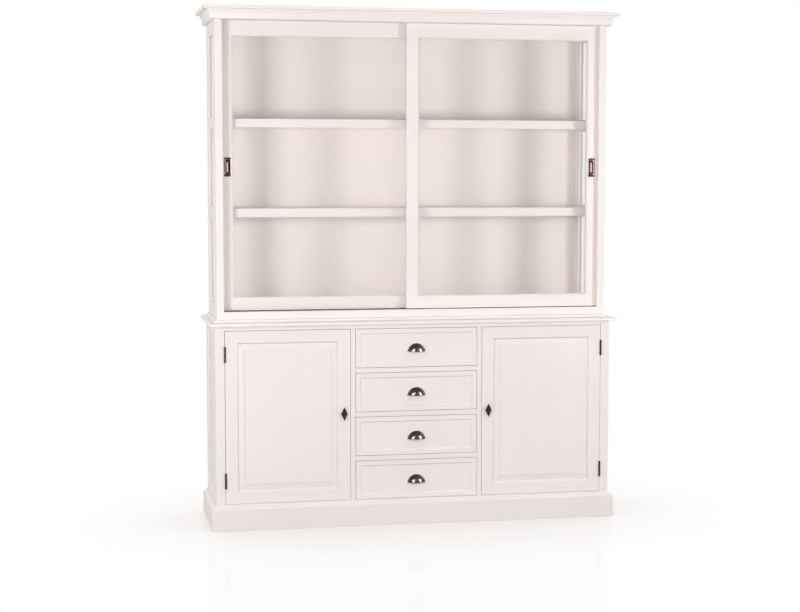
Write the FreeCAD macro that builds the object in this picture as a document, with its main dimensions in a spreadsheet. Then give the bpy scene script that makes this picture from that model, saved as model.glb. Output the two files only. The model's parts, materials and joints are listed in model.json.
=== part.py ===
import FreeCAD, Part
import math
import os
import types

import Sketcher

# Tall cupboard: a base with two hinged doors and four drawers carries a glazed case with two sliding doors.
# Millimetres. X runs to the right, Y to the back and Z up. The origin is on the floor, under the middle.

DRAWER_COUNT = 4
LOOSE = 1e-4

# Driving sizes: name, value, what it measures
SIZES = (
    ("overall_height", 2200, "floor to the top of the cornice"),
    ("base_width", 1720, "across the base, without its plinth and top"),
    ("base_depth", 450, "front frame to back of the base"),
    ("base_height", 866, "floor to the underside of the base top"),
    ("case_width", 1696, "across the upper case, without its cornice"),
    ("case_setback", 50, "front of the upper case behind the front of the base"),
    ("frame_thick", 22, "face frames, side frames, hinged doors and drawer fronts"),
    ("board_thick", 18, "partitions, bottom board and shelves"),
    ("back_thick", 8, "back panels"),
    ("reveal", 1.5, "gap round an inset door or drawer"),
    ("seat_gap", 0.3, "running gap between a moving piece and its seat"),
    ("plinth_height", 91, "upright face of the plinth"),
    ("plinth_chamfer", 12, "height of the sloped plinth top"),
    ("plinth_project", 20, "plinth in front of the base"),
    ("plinth_lip", 4, "level edge left above the plinth slope"),
    ("top_nose", 14, "base top"),
    ("top_overhang", 24, "base top beyond the base"),
    ("top_nose_round", 10, "rounding of the base top"),
    ("top_step", 10, "foot board between the base top and the upper case"),
    ("top_step_out", 10, "foot board beyond the upper case"),
    ("top_step_round", 6, "rounding of the foot board"),
    ("outer_stile", 39, "outer stiles of the base"),
    ("mid_stile", 21, "stiles beside the drawers"),
    ("base_rail", 19, "rail above doors and drawers"),
    ("foot_rail", 50, "rail under doors and drawers"),
    ("floor_height", 111, "floor to the top of the bottom board"),
    ("drawer_rail", 21, "rails between drawers"),
    ("drawer_opening", 531, "clear width for the drawers"),
    ("side_stile", 70, "stiles of the side frames"),
    ("side_rail", 55, "rails of the side frames"),
    ("side_panel", 8, "flat panels of the base sides"),
    ("side_inset", 9, "face of a side frame to its panel or pane"),
    ("side_bevel", 6, "sloped inner edge of the side frames"),
    ("groove_depth", 10, "panel grooves"),
    ("panel_play", 1, "room for a panel at the bottom of its groove"),
    ("door_member", 55, "stiles and rails of the hinged doors"),
    ("door_moulding", 8, "rounded inner edge of the hinged doors"),
    ("panel_inset", 10, "face of a hinged door to the panel tongue"),
    ("panel_tongue", 6, "tongue of the raised panel"),
    ("panel_bevel", 26, "sloped border of the raised panel"),
    ("panel_rise", 5, "height of the slope"),
    ("panel_step", 2, "raised field above the slope"),
    ("drawer_recess", 5, "sunk field of a drawer front"),
    ("drawer_border", 19, "flat border of a drawer front"),
    ("drawer_slope", 5, "sloped edge of the sunk field"),
    ("drawer_side", 12, "sides and back of a drawer box"),
    ("drawer_side_height", 130, "height of a drawer side"),
    ("drawer_box_depth", 380, "depth of a drawer box behind its front"),
    ("drawer_bottom", 6, "bottom of a drawer"),
    ("drawer_bottom_rise", 8, "drawer bottom above the lower edge of the sides"),
    ("drawer_groove", 6, "grooves for the drawer bottom"),
    ("drawer_play", 2.5, "drawer side to the edge of its opening"),
    ("runner_width", 30, "drawer runners"),
    ("base_shelf_rise", 359, "bottom board to the underside of the base shelf"),
    ("base_shelf_setback", 20, "base shelf behind the doors"),
    ("shelf_play", 1, "base shelf to the boards beside it"),
    ("batten", 15, "square section of a shelf batten"),
    ("catch_drop", 40, "top of the opening to the middle of a catch"),
    ("catch_length", 40, "length of a catch"),
    ("catch_depth", 14, "depth of a catch"),
    ("catch_thick", 12, "height of a catch"),
    ("strike_thick", 1, "strike plate"),
    ("hinge_length", 63, "height of a hinge"),
    ("hinge_inset", 98, "end of a door to the middle of its hinge"),
    ("hinge_barrel", 4, "radius of the knuckles"),
    ("hinge_pin", 2, "radius of the pin"),
    ("hinge_leaf_depth", 20, "leaf between door and stile"),
    ("hinge_proud", 0.2, "room between barrel and door face"),
    ("hinge_tip", 2.5, "height of the pin's heads"),
    ("leaf_play", 0.1, "room between the two leaves"),
    ("pin_play", 0.05, "room round the pin"),
    ("knob_rise", 372, "lower edge of a hinged door to its knob"),
    ("knob_width", 27, "diamond knob, across"),
    ("knob_length", 60, "diamond knob, upright"),
    ("knob_stem", 5, "radius of the stem"),
    ("knob_stand", 8, "door face to the back of the diamond"),
    ("knob_back", 3, "bevelled back of the diamond"),
    ("knob_point", 10, "faceted front of the diamond"),
    ("cup_width", 78, "cup pull, across its flange"),
    ("cup_height", 35, "cup pull, upright"),
    ("cup_project", 22, "cup pull in front of the drawer"),
    ("cup_flange", 5, "flange round the cup"),
    ("cup_rim", 2.2, "thickness of the flange"),
    ("cup_wall", 1.8, "wall of the cup"),
    ("case_stile", 31, "front stiles of the upper case"),
    ("case_rail", 32, "rail under the sliding doors"),
    ("case_floor", 22, "bottom board of the upper case"),
    ("case_top", 18, "top board of the upper case"),
    ("cornice_foot", 10, "level underside of the cornice"),
    ("cornice_bead", 9, "radius of the round at the foot"),
    ("cornice_cove", 10, "cove, outward"),
    ("cornice_cove_height", 31, "cove, upright"),
    ("cornice_fillet", 3, "upright edge above the cove"),
    ("cornice_lip", 18, "overhang of the nose"),
    ("cornice_nose", 16, "height of the nose"),
    ("cornice_round", 4, "rounding of the nose"),
    ("lower_shelf_rise", 433, "case floor to the top of the lower shelf"),
    ("upper_shelf_rise", 380, "lower shelf top to upper shelf top"),
    ("shelf_lip", 37, "height of a shelf's front lip"),
    ("shelf_lip_thick", 22, "thickness of a shelf's front lip"),
    ("shelf_clear", 15, "rear sliding door to the shelf lips"),
    ("slide_stile", 54, "stiles of the sliding doors"),
    ("slide_top", 72, "top rail of the sliding doors"),
    ("slide_bottom", 55, "bottom rail of the sliding doors"),
    ("slide_thick", 20, "thickness of the sliding doors"),
    ("slide_gap", 12, "between the two sliding doors"),
    ("slide_front", 1, "front frame to the front sliding door"),
    ("slide_end", 2, "outer edge of a sliding door to the case side"),
    ("slide_overlap", 62, "overlap of the closed sliding doors"),
    ("slide_lift", 3, "case floor to the sliding doors"),
    ("slide_head", 9, "sliding doors behind the head rail"),
    ("slide_bevel", 5, "sloped inner edge of the sliding doors"),
    ("rebate_inset", 8, "face of a sliding door to its glass"),
    ("rebate_depth", 9, "glass rebate"),
    ("glass_thick", 4, "glass panes"),
    ("guide_play", 1, "guide batten to a sliding door"),
    ("guide_thick", 12, "rear guide batten"),
    ("track_width", 6, "running grooves"),
    ("track_depth", 6, "running grooves"),
    ("glide_length", 40, "glide along a sliding door"),
    ("glide_width", 16, "glide across a sliding door"),
    ("glide_tongue", 5, "thickness of the glide's tongue"),
    ("glide_drop", 5, "tongue below the case floor"),
    ("glide_inset", 60, "end of a sliding door to the middle of its glide"),
    ("pull_rise", 606, "lower edge of a sliding door to its pull"),
    ("pull_inset", 32, "outer edge of a sliding door to the middle of its pull"),
    ("pull_width", 30, "plate of the flush pull"),
    ("pull_height", 80, "plate of the flush pull"),
    ("pull_plate", 1.5, "thickness of the plate"),
    ("pull_cup_width", 18, "sunk cup of the pull, outside"),
    ("pull_cup_height", 62, "sunk cup of the pull, outside"),
    ("pull_cup_depth", 11, "sunk cup of the pull, outside"),
    ("pull_wall", 1.5, "wall of the sunk cup"),
    ("pull_play", 0.2, "room round the cup in its mortise"),
)


class Size:
    """A length together with the expression that ties it to the sheet."""

    def __init__(self, value, text):
        self.value = value
        self.text = text

    def joined(self, sign, other, value):
        return Size(value, f"({self.text} {sign} {other.text})")

    def __add__(self, other):
        other = as_size(other)
        return self.joined("+", other, self.value + other.value)

    def __sub__(self, other):
        other = as_size(other)
        return self.joined("-", other, self.value - other.value)

    def __mul__(self, other):
        other = as_size(other)
        return self.joined("*", other, self.value * other.value)

    def __truediv__(self, other):
        other = as_size(other)
        return self.joined("/", other, self.value / other.value)

    def __radd__(self, other):
        return as_size(other) + self

    def __rsub__(self, other):
        return as_size(other) - self

    def __rmul__(self, other):
        return as_size(other) * self

    def __neg__(self):
        return as_size(0) - self


def as_size(length):
    return length if isinstance(length, Size) else Size(length, str(length))


doc = FreeCAD.newDocument("tall_cupboard")
sheet = doc.addObject("Spreadsheet::Sheet", "Sizes")
for row, (name, value, note) in enumerate(SIZES, start=1):
    sheet.set(f"A{row}", note)
    sheet.set(f"B{row}", str(value))
    sheet.setAlias(f"B{row}", name)
doc.recompute()
s = types.SimpleNamespace(**{name: Size(sheet.get(name), f"Sizes.{name}") for name, value, note in SIZES})

# Planes and edges that the pieces share
FRONT = (s.top_overhang - s.base_depth) / 2
BACK = (s.top_overhang + s.base_depth) / 2
INNER_BACK = BACK - s.back_thick
FRAME_BACK = FRONT + s.frame_thick
HALF_BASE = s.base_width / 2
BASE_INSIDE = HALF_BASE - s.frame_thick
OPENING_TOP = s.base_height - s.base_rail
STILE_EDGE = HALF_BASE - s.outer_stile
DRAWER_EDGE = s.drawer_opening / 2
MID_EDGE = DRAWER_EDGE + s.mid_stile
PARTITION_INNER = DRAWER_EDGE + (s.mid_stile - s.board_thick) / 2
PARTITION_OUTER = PARTITION_INNER + s.board_thick
PLINTH_TOP = s.plinth_height + s.plinth_chamfer
HALF_CASE = s.case_width / 2
CASE_INSIDE = HALF_CASE - s.frame_thick
CASE_EDGE = HALF_CASE - s.case_stile
CASE_FRONT = FRONT + s.case_setback
CASE_FRAME_BACK = CASE_FRONT + s.frame_thick
CASE_LOW = s.base_height + s.top_nose + s.top_step
CASE_FLOOR = CASE_LOW + s.case_rail
CASE_CEILING = s.overall_height - s.case_top
CORNICE_HEIGHT = s.cornice_bead + s.cornice_cove_height + s.cornice_fillet + s.cornice_nose
CORNICE_PROJECT = s.cornice_foot + s.cornice_bead + s.cornice_cove + s.cornice_lip
HEAD_LOW = s.overall_height - CORNICE_HEIGHT
SLIDE_OUTER = CASE_INSIDE - s.slide_end
SLIDE_WIDTH = SLIDE_OUTER + s.slide_overlap / 2
SLIDE_LOW = CASE_FLOOR + s.slide_lift
SLIDE_HEIGHT = HEAD_LOW + s.slide_head - SLIDE_LOW
SLIDE_FRONT = CASE_FRAME_BACK + s.slide_front
TRACK_PITCH = s.slide_thick + s.slide_gap
SLIDES_BACK = SLIDE_FRONT + TRACK_PITCH + s.slide_thick
SHELF_FRONT = SLIDES_BACK + s.shelf_clear
LOWER_SHELF = CASE_FLOOR + s.lower_shelf_rise
UPPER_SHELF = LOWER_SHELF + s.upper_shelf_rise

NODES = {}


def bind(thing, **lengths):
    for name, length in lengths.items():
        thing.setExpression(name, as_size(length).text)


def place(thing, at):
    for axis, length in zip("xyz", at):
        thing.setExpression(f"Placement.Base.{axis}", as_size(length).text)
    return thing


def turned(thing, axis, degrees):
    thing.Placement = FreeCAD.Placement(FreeCAD.Vector(), FreeCAD.Rotation(FreeCAD.Vector(*axis), degrees))
    return thing


def node(label, thing):
    """Names a finished sub-part."""
    thing.Label = label
    NODES[label] = thing
    return thing


def board(name, low, high):
    """A plain board between two opposite corners."""
    box = doc.addObject("Part::Box", name)
    bind(box, Length=high[0] - low[0], Width=high[1] - low[1], Height=high[2] - low[2])
    return place(box, low)


def bar(name, radius, length, at):
    """An upright round bar on a point."""
    cylinder = doc.addObject("Part::Cylinder", name)
    bind(cylinder, Radius=radius, Height=length)
    return place(cylinder, at)


def group(name, pieces):
    compound = doc.addObject("Part::Compound", name)
    compound.Links = pieces
    return compound


def fused(name, pieces):
    fusion = doc.addObject("Part::MultiFuse", name)
    fusion.Shapes = pieces
    return fusion


def cut(name, base, tool):
    result = doc.addObject("Part::Cut", name)
    result.Base = base
    result.Tool = tool
    return result


def common(name, pieces):
    """What several pieces share."""
    shared = doc.addObject("Part::MultiCommon", name)
    shared.Shapes = pieces
    return shared


def mirrored(name, source):
    """The left-hand twin of a right-hand piece."""
    twin = doc.addObject("Part::Mirroring", name)
    twin.Source = source
    twin.Normal = FreeCAD.Vector(1, 0, 0)
    return twin


def arc_middle(start, end, radius):
    """Middle of the short arc between two points, with its centre to the left for a positive radius."""
    chord = end - start
    half = chord.Length / 2
    left = FreeCAD.Vector(-chord.y, chord.x, 0).normalize()
    sagitta = abs(radius) - math.sqrt(max(radius * radius - half * half, 0))
    return (start + end) / 2 - left * math.copysign(sagitta, radius)


def outline(sketch, corners):
    """Draws a closed outline. A corner is (across, up), or (across, up, radius) after an arc."""
    points = [FreeCAD.Vector(as_size(corner[0]).value, as_size(corner[1]).value, 0) for corner in corners]
    for index, corner in enumerate(corners):
        start = points[index - 1]
        end = points[index]
        if len(corner) == 2:
            sketch.addGeometry(Part.LineSegment(start, end))
        else:
            sketch.addGeometry(Part.Arc(start, arc_middle(start, end, as_size(corner[2]).value), end))

    def end_at(edge, point):
        return 1 if sketch.getPoint(edge, 1).isEqual(point, LOOSE) else 2

    for index, corner in enumerate(corners):
        end = end_at(index, points[index])
        following = (index + 1) % len(corners)
        start = end_at(following, points[index])
        sketch.addConstraint(Sketcher.Constraint("Coincident", index, end, following, start))
        for kind, length in (("DistanceX", corner[0]), ("DistanceY", corner[1])):
            fix(sketch, Sketcher.Constraint(kind, -1, 1, index, end, as_size(length).value), length)
        if len(corner) == 3:
            radius = corner[2] if as_size(corner[2]).value > 0 else -corner[2]
            fix(sketch, Sketcher.Constraint("Radius", index, as_size(radius).value), radius)


def fix(sketch, constraint, length):
    index = sketch.addConstraint(constraint)
    if isinstance(length, Size):
        sketch.setExpression(f"Constraints[{index}]", length.text)


def sketched(body, name, plane, corners):
    """A closed outline on one of the body's own planes."""
    sketch = body.newObject("Sketcher::SketchObject", name)
    support = [feature for feature in body.Origin.OriginFeatures if feature.Role == plane]
    sketch.AttachmentSupport = [(support[0], "")]
    sketch.MapMode = "FlatFace"
    outline(sketch, corners)
    return sketch


def padded(name, plane, corners, length, side="One side", back=False):
    """A body made from an outline and a length. On the front plane, back sends it towards +Y."""
    body = doc.addObject("PartDesign::Body", name)
    pad = body.newObject("PartDesign::Pad", f"{name}_pad")
    pad.Profile = sketched(body, f"{name}_outline", plane, corners)
    pad.SideType = side
    pad.Reversed = back
    bind(pad, Length=length)
    body.Tip = pad
    return body


def notched(body, name, corners):
    """Cuts an outline on the level plane right through a body."""
    pocket = body.newObject("PartDesign::Pocket", f"{name}_pocket")
    pocket.Profile = sketched(body, f"{name}_outline", "XY_Plane", corners)
    pocket.SideType = "Symmetric"
    pocket.Type = "ThroughAll"
    body.Tip = pocket
    return body


def flipped(corners):
    """The mirror image of an outline across its upright axis."""
    return [(-as_size(corner[0]), *corner[1:2], *(-radius for radius in corner[2:])) for corner in corners]


def swapped(corners):
    """The mirror image of an outline across its diagonal."""
    return [(corner[1], corner[0], *(-radius for radius in corner[2:])) for corner in corners]


# Mouldings that run along the front and both sides, mitred at the front corners

def moulding(label, profile, project, half_width, face, low):
    """Front run and two returns of a moulding whose outline is (outward, up)."""
    length = 2 * (half_width + project)
    front = padded(f"{label}_front", "YZ_Plane", flipped(profile), length, side="Symmetric")
    for hand, sign in (("right", 1), ("left", -1)):
        tip = sign * (half_width + project)
        inner = sign * half_width
        notched(front, f"{label}_mitre_{hand}", [(tip, -project), (tip, 0), (inner, 0)])
    place(front, (0, face, low))
    right = padded(f"{label}_return", "XZ_Plane", profile, BACK - face + project, back=True)
    notched(right, f"{label}_mitre_return", [(0, 0), (project, 0), (0, project)])
    place(right, (half_width, face - project, low))
    node(label, group(label, [front, right, mirrored(f"{label}_return_left", right)]))


def make_plinth():
    project = s.plinth_project
    profile = [(0, 0), (project, 0), (project, s.plinth_height), (s.plinth_lip, PLINTH_TOP), (0, PLINTH_TOP)]
    moulding("plinth", profile, project, HALF_BASE, FRONT, 0)


def make_cornice():
    """Round foot, cove and rounded nose."""
    bead_out = s.cornice_foot + s.cornice_bead
    cove_out = bead_out + s.cornice_cove
    cove_up = s.cornice_bead + s.cornice_cove_height
    nose_up = cove_up + s.cornice_fillet
    cove_radius = (s.cornice_cove * s.cornice_cove + s.cornice_cove_height * s.cornice_cove_height) / (
        2 * s.cornice_cove)
    nose_flat = CORNICE_PROJECT - s.cornice_round
    profile = [
        (0, 0),
        (s.cornice_foot, 0),
        (bead_out, s.cornice_bead, s.cornice_bead),
        (cove_out, cove_up, -cove_radius),
        (cove_out, nose_up),
        (nose_flat, nose_up),
        (CORNICE_PROJECT, nose_up + s.cornice_round, s.cornice_round),
        (CORNICE_PROJECT, CORNICE_HEIGHT - s.cornice_round),
        (nose_flat, CORNICE_HEIGHT, s.cornice_round),
        (0, CORNICE_HEIGHT),
    ]
    moulding("cornice", profile, CORNICE_PROJECT, HALF_CASE, CASE_FRONT, HEAD_LOW)


# Frames of stiles and coped rails, with the face at y = 0, in their own lower left corner

def member(low, high, low_edge, high_edge, make):
    """Section of a stile or rail as (through, across), moulded and grooved on the named edges."""
    edge = make["edge"]
    arc = [edge] if make["rounded"] else []
    inset = make["inset"]
    depth = make["depth"]
    thick = make["thick"]
    rear = inset + make["groove"]
    open_back = make["open_back"]
    corners = [(0, low)]
    if low_edge:
        floor = low + depth
        corners = [(0, low + edge), (edge, low, *arc), (inset, low), (inset, floor)]
        corners += [(thick, floor)] if open_back else [(rear, floor), (rear, low), (thick, low)]
    else:
        corners.append((thick, low))
    if high_edge:
        floor = high - depth
        corners += [(thick, floor)] if open_back else [(thick, high), (rear, high), (rear, floor)]
        corners += [(inset, floor), (inset, high), (edge, high), (0, high - edge, *arc)]
    else:
        corners += [(thick, high), (0, high)]
    return corners


def framed(name, width, height, stile, rails, make, mortise=None):
    """Two full-height stiles and the rails between them, coped over the stile mouldings."""
    left = padded(f"{name}_stile_left", "XY_Plane", swapped(member(0, stile, False, True, make)), height)
    right_section = swapped(member(width - stile, width, True, False, make))
    right = padded(f"{name}_stile_right", "XY_Plane", right_section, height)
    stiles = group(f"{name}_stiles", [left, right])
    outer = cut(f"{name}_stile_mortised", right, mortise) if mortise else right
    pieces = [left, outer]
    reach = stile - make["depth"]
    for index, (low, high) in enumerate(rails):
        section = member(low, high, index > 0, index < len(rails) - 1, make)
        rail = padded(f"{name}_rail_{index}", "YZ_Plane", section, width - 2 * reach)
        place(rail, (reach, 0, 0))
        pieces.append(cut(f"{name}_rail_{index}_coped", rail, stiles))
    return group(name, pieces)


def flat_panels(name, width, stile, rails, make):
    """Plain panels or panes in the grooves of a frame, one between each pair of rails."""
    reach = make["depth"] - s.panel_play
    pieces = []
    for index in range(len(rails) - 1):
        low = (stile - reach, make["inset"], rails[index][1] - reach)
        high = (width - stile + reach, make["inset"] + make["groove"], rails[index + 1][0] + reach)
        pieces.append(board(f"{name}_{index}", low, high))
    return group(name, pieces)


BASE_SIDE_MAKE = {"thick": s.frame_thick, "edge": s.side_bevel, "rounded": False, "inset": s.side_inset,
                  "groove": s.side_panel, "depth": s.groove_depth, "open_back": False}
CASE_SIDE_MAKE = {**BASE_SIDE_MAKE, "groove": s.glass_thick}
DOOR_MAKE = {"thick": s.frame_thick, "edge": s.door_moulding, "rounded": True, "inset": s.panel_inset,
             "groove": s.panel_tongue, "depth": s.groove_depth, "open_back": False}
SLIDE_MAKE = {"thick": s.slide_thick, "edge": s.slide_bevel, "rounded": False, "inset": s.rebate_inset,
              "groove": s.glass_thick, "depth": s.rebate_depth, "open_back": True}


def make_sides(name, filling, half_width, start, low, height, rails, make):
    """Right side of a case, the panels or panes that fill it, and the left-hand twins of both."""
    width = BACK - start
    frame = framed(f"{name}_side_right", width, height, s.side_stile, rails, make)
    sheets = flat_panels(f"{name}_{filling}_right", width, s.side_stile, rails, make)
    for piece in (frame, sheets):
        turned(piece, (0, 0, 1), 90)
        place(piece, (half_width, start, low))
    node(f"{name}_side_right", frame)
    node(f"{name}_side_left", mirrored(f"{name}_side_left", frame))
    twin = mirrored(f"{name}_{filling}_left", sheets)
    node(f"{name}_side_{filling}", group(f"{name}_side_{filling}", [sheets, twin]))


# Base

def make_base_sides():
    rails = [(0, PLINTH_TOP + s.side_rail), (s.base_height - s.side_rail, s.base_height)]
    make_sides("base", "panels", HALF_BASE, FRAME_BACK, 0, s.base_height, rails, BASE_SIDE_MAKE)


def drawer_openings():
    """Lower edge of each drawer opening, from the top down, and their common height."""
    clear = (OPENING_TOP - s.floor_height - (DRAWER_COUNT - 1) * s.drawer_rail) / DRAWER_COUNT
    lows = [OPENING_TOP - clear - index * (clear + s.drawer_rail) for index in range(DRAWER_COUNT)]
    return lows, clear


def make_face_frame():
    outer = board("outer_stile_right", (STILE_EDGE, FRONT, 0),
                  (HALF_BASE, FRAME_BACK, s.base_height))
    middle = board("mid_stile_right", (DRAWER_EDGE, FRONT, s.floor_height),
                   (MID_EDGE, FRAME_BACK, OPENING_TOP))
    stiles = [outer, middle, mirrored("outer_stile_left", outer), mirrored("mid_stile_left", middle)]
    node("base_stiles", group("base_stiles", stiles))

    low = s.floor_height - s.foot_rail
    rails = [
        board("head_rail", (-STILE_EDGE, FRONT, OPENING_TOP), (STILE_EDGE, FRAME_BACK, s.base_height)),
        board("foot_rail", (-STILE_EDGE, FRONT, low), (STILE_EDGE, FRAME_BACK, s.floor_height)),
    ]
    lows, clear = drawer_openings()
    for index, high in enumerate(lows[:-1]):
        start = (-DRAWER_EDGE, FRONT, high - s.drawer_rail)
        rails.append(board(f"drawer_rail_{index}", start, (DRAWER_EDGE, FRAME_BACK, high)))
    node("base_rails", group("base_rails", rails))


def make_base_boards():
    under = s.floor_height - s.board_thick
    node("base_bottom", board("base_bottom", (-BASE_INSIDE, FRAME_BACK, under),
                              (BASE_INSIDE, INNER_BACK, s.floor_height)))
    node("base_back", board("base_back", (-BASE_INSIDE, INNER_BACK, under),
                            (BASE_INSIDE, BACK, s.base_height)))
    partition = board("partition_right", (PARTITION_INNER, FRAME_BACK, s.floor_height),
                      (PARTITION_OUTER, INNER_BACK, s.base_height))
    node("base_partitions", group("base_partitions", [partition, mirrored("partition_left", partition)]))

    shelf_low = s.floor_height + s.base_shelf_rise
    shelf_front = FRAME_BACK + s.base_shelf_setback
    shelf = board("base_shelf_right", (PARTITION_OUTER + s.shelf_play, shelf_front, shelf_low),
                  (BASE_INSIDE - s.shelf_play, INNER_BACK - s.shelf_play, shelf_low + s.board_thick))
    node("base_shelves", group("base_shelves", [shelf, mirrored("base_shelf_left", shelf)]))

    battens = []
    for name, edge in (("inner", PARTITION_OUTER), ("outer", BASE_INSIDE - s.batten)):
        batten = board(f"batten_{name}_right", (edge, shelf_front, shelf_low - s.batten),
                       (edge + s.batten, INNER_BACK, shelf_low))
        battens += [batten, mirrored(f"batten_{name}_left", batten)]
    node("shelf_battens", group("shelf_battens", battens))

    runners = []
    lows, clear = drawer_openings()
    for index, high in enumerate(lows[:-1]):
        low = (PARTITION_INNER - s.runner_width, FRAME_BACK, high - s.drawer_rail)
        runner = board(f"runner_{index}_right", low, (PARTITION_INNER, INNER_BACK, high))
        runners += [runner, mirrored(f"runner_{index}_left", runner)]
    node("drawer_runners", group("drawer_runners", runners))


def rim_edges(shape, height, half_width, front):
    """Edges at a height along the front and the two ends of a slab."""
    names = []
    for index, edge in enumerate(shape.Edges, start=1):
        box = edge.BoundBox
        level = abs(box.ZMin - height) < LOOSE and abs(box.ZMax - height) < LOOSE
        ends = box.XMin > half_width - LOOSE or box.XMax < LOOSE - half_width
        if level and (ends or box.YMax < front + LOOSE):
            names.append(f"Edge{index}")
    return names


def slab(half_width, front):
    return [(-half_width, front), (half_width, front), (half_width, BACK), (-half_width, BACK)]


def rounded_slab(name, half_width, front, thick, radius):
    """A level board to the back, rounded above along the front and the ends."""
    body = padded(name, "XY_Plane", slab(half_width, front), thick)
    doc.recompute()
    solid = body.Tip
    fillet = body.newObject("PartDesign::Fillet", f"{name}_round")
    fillet.Base = (solid, rim_edges(solid.Shape, thick.value, half_width.value, front.value))
    bind(fillet, Radius=radius)
    body.Tip = fillet
    doc.recompute()
    return body


def make_base_top():
    top = rounded_slab("base_top", HALF_BASE + s.top_overhang, FRONT - s.top_overhang,
                       s.top_nose, s.top_nose_round)
    node("base_top", place(top, (0, 0, s.base_height)))
    foot = rounded_slab("case_foot", HALF_CASE + s.top_step_out, CASE_FRONT - s.top_step_out,
                        s.top_step, s.top_step_round)
    node("case_foot", place(foot, (0, 0, s.base_height + s.top_nose)))


# Hinged doors

DOOR_LOW = s.floor_height + s.reveal
DOOR_HEIGHT = OPENING_TOP - s.reveal - DOOR_LOW
DOOR_INNER = MID_EDGE + s.reveal
DOOR_WIDTH = STILE_EDGE - s.reveal - DOOR_INNER
HINGE_X = STILE_EDGE - s.reveal / 2
HINGE_Y = FRONT - s.hinge_barrel - s.hinge_proud
HINGE_MIDDLES = (DOOR_LOW + s.hinge_inset, DOOR_LOW + DOOR_HEIGHT - s.hinge_inset)
LEAF = (s.reveal - s.leaf_play) / 2
KNUCKLE = (s.hinge_length - 2 * s.seat_gap) / 3


def raised_panel(name):
    """Tongue all round, a sloped border and a field that stands a step above it."""
    reach = s.groove_depth - s.panel_play
    sight = s.door_member
    rear = s.panel_inset + s.panel_tongue
    tongue = board(f"{name}_tongue", (sight - reach, s.panel_inset, sight - reach),
                   (DOOR_WIDTH - sight + reach, rear, DOOR_HEIGHT - sight + reach))
    slope = doc.addObject("Part::Wedge", f"{name}_slope")
    start = sight + s.panel_play
    inner = sight + s.panel_bevel
    bind(slope, Ymin=s.panel_inset - s.panel_rise, Ymax=s.panel_inset)
    bind(slope, Xmin=inner, Xmax=DOOR_WIDTH - inner, Zmin=inner, Zmax=DOOR_HEIGHT - inner)
    bind(slope, X2min=start, X2max=DOOR_WIDTH - start, Z2min=start, Z2max=DOOR_HEIGHT - start)
    field = board(f"{name}_field", (inner, s.panel_inset - s.panel_rise - s.panel_step, inner),
                  (DOOR_WIDTH - inner, rear, DOOR_HEIGHT - inner))
    return fused(name, [tongue, slope, field])


def diamond_knob(name):
    """A faceted diamond, shared by two crossing bars with bevelled edges, on a round stem."""
    width = s.knob_width
    length = s.knob_length
    slant = Size(math.hypot(width.value, length.value), f"hypot({width.text}; {length.text})")
    lean = Size(math.degrees(math.atan2(width.value, length.value)), f"atan({width.text} / {length.text})")
    half = width * length / (2 * slant)
    middle = s.knob_stand + s.knob_back
    section = [(half / 2, -s.knob_stand), (half, -middle), (half / 6, -middle - s.knob_point)]
    section += reversed(flipped(section))
    bars = []
    for hand, upright in (("rising", 1), ("falling", -1)):
        crossing = padded(f"{name}_{hand}", "XY_Plane", section, 2 * length, side="Symmetric")
        turned(crossing, (0, upright, 0), lean.value)
        bind(crossing, **{"Placement.Rotation.Angle": lean})
        bars.append(crossing)
    stem = turned(bar(f"{name}_stem", s.knob_stem, middle, (0, 0, 0)), (1, 0, 0), 90)
    return fused(name, [stem, common(f"{name}_diamond", bars)])


def hinge_leaf(name, plate_low, plate_high, knuckles, middle):
    """A flat leaf with its knuckles, bored for the pin."""
    low = middle - s.hinge_length / 2
    neck = HINGE_Y + (s.hinge_pin + s.hinge_barrel) / 2
    pieces = [board(f"{name}_plate", (plate_low, FRONT, low),
                    (plate_high, FRONT + s.hinge_leaf_depth, low + s.hinge_length))]
    for index in knuckles:
        start = low + index * (KNUCKLE + s.seat_gap)
        pieces.append(bar(f"{name}_knuckle_{index}", s.hinge_barrel, KNUCKLE, (HINGE_X, HINGE_Y, start)))
        pieces.append(board(f"{name}_neck_{index}", (plate_low, neck, start),
                            (plate_high, FRONT, start + KNUCKLE)))
    bore = bar(f"{name}_bore", s.hinge_pin + s.pin_play, s.hinge_length, (HINGE_X, HINGE_Y, low))
    return cut(name, fused(f"{name}_solid", pieces), bore)


def hinge_pin(name, middle):
    """A pin with a small head above and below the knuckles."""
    low = middle - s.hinge_length / 2 - s.seat_gap
    length = s.hinge_length + 2 * s.seat_gap
    pieces = [bar(f"{name}_shank", s.hinge_pin, length, (HINGE_X, HINGE_Y, low))]
    for hand, start in (("upper", low + length), ("lower", low - s.hinge_tip)):
        pieces.append(bar(f"{name}_{hand}", (s.hinge_pin + s.hinge_barrel) / 2, s.hinge_tip,
                          (HINGE_X, HINGE_Y, start)))
    return fused(name, pieces)


def make_hinges():
    """Case leaves and pins stay with the case, the other leaves turn with the doors."""
    case_leaves = []
    door_leaves = []
    pins = []
    for index, middle in enumerate(HINGE_MIDDLES):
        case_leaves.append(hinge_leaf(f"case_leaf_{index}", STILE_EDGE - LEAF, STILE_EDGE, (0, 2), middle))
        door_edge = STILE_EDGE - s.reveal
        door_leaves.append(hinge_leaf(f"door_leaf_{index}", door_edge, door_edge + LEAF, (1,), middle))
        pins.append(hinge_pin(f"hinge_pin_{index}", middle))
    for label, pieces in (("hinge_case_leaves", case_leaves), ("hinge_pins", pins)):
        twins = [mirrored(f"{label}_left_{index}", piece) for index, piece in enumerate(pieces)]
        node(label, group(label, pieces + twins))
    node("right_door_hinge_leaves", group("right_door_hinge_leaves", door_leaves))
    node("left_door_hinge_leaves", mirrored("left_door_hinge_leaves", NODES["right_door_hinge_leaves"]))


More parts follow.
